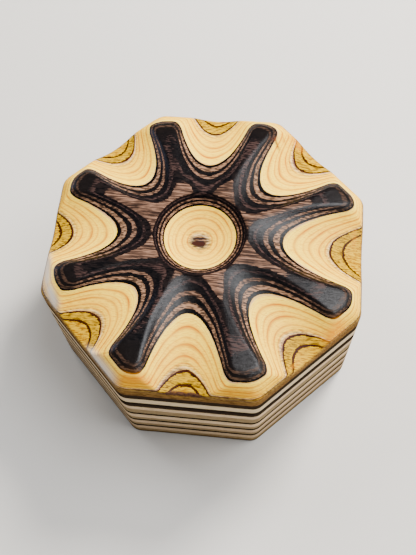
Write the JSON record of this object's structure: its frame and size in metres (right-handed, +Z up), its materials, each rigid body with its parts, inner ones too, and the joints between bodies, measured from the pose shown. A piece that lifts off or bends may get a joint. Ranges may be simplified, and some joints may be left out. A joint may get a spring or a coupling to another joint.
{
  "type": "octagonal trinket box with carved lift-off lid",
  "caption": "Octagonal wooden trinket box of laminated plies, hollow inside, with a thick lift-off lid carved with radiating scoops around a round central bowl.",
  "frame": {"origin": "centre of the flat underside of the box", "axes": "+Z up, out of the lid; -Y towards the viewer, square to the flat front side; +X to the right, square to the flat right side"},
  "size_m": [0.108, 0.108, 0.0573],
  "materials": {
    "body_laminate": "satin-varnished laminated wood, pale and beige plies parted by thin black plies, with one dark plum-brown ply at the rim",
    "lid_laminate": "satin-varnished laminated wood, thin stained brown and black plies on top, a thick cream ply, two golden plies, a black ply and a pale ply below"
  },
  "bodies": {
    "root": {"box_body": "body_laminate", "lid": "lid_laminate"}
  },
  "joints": []
}
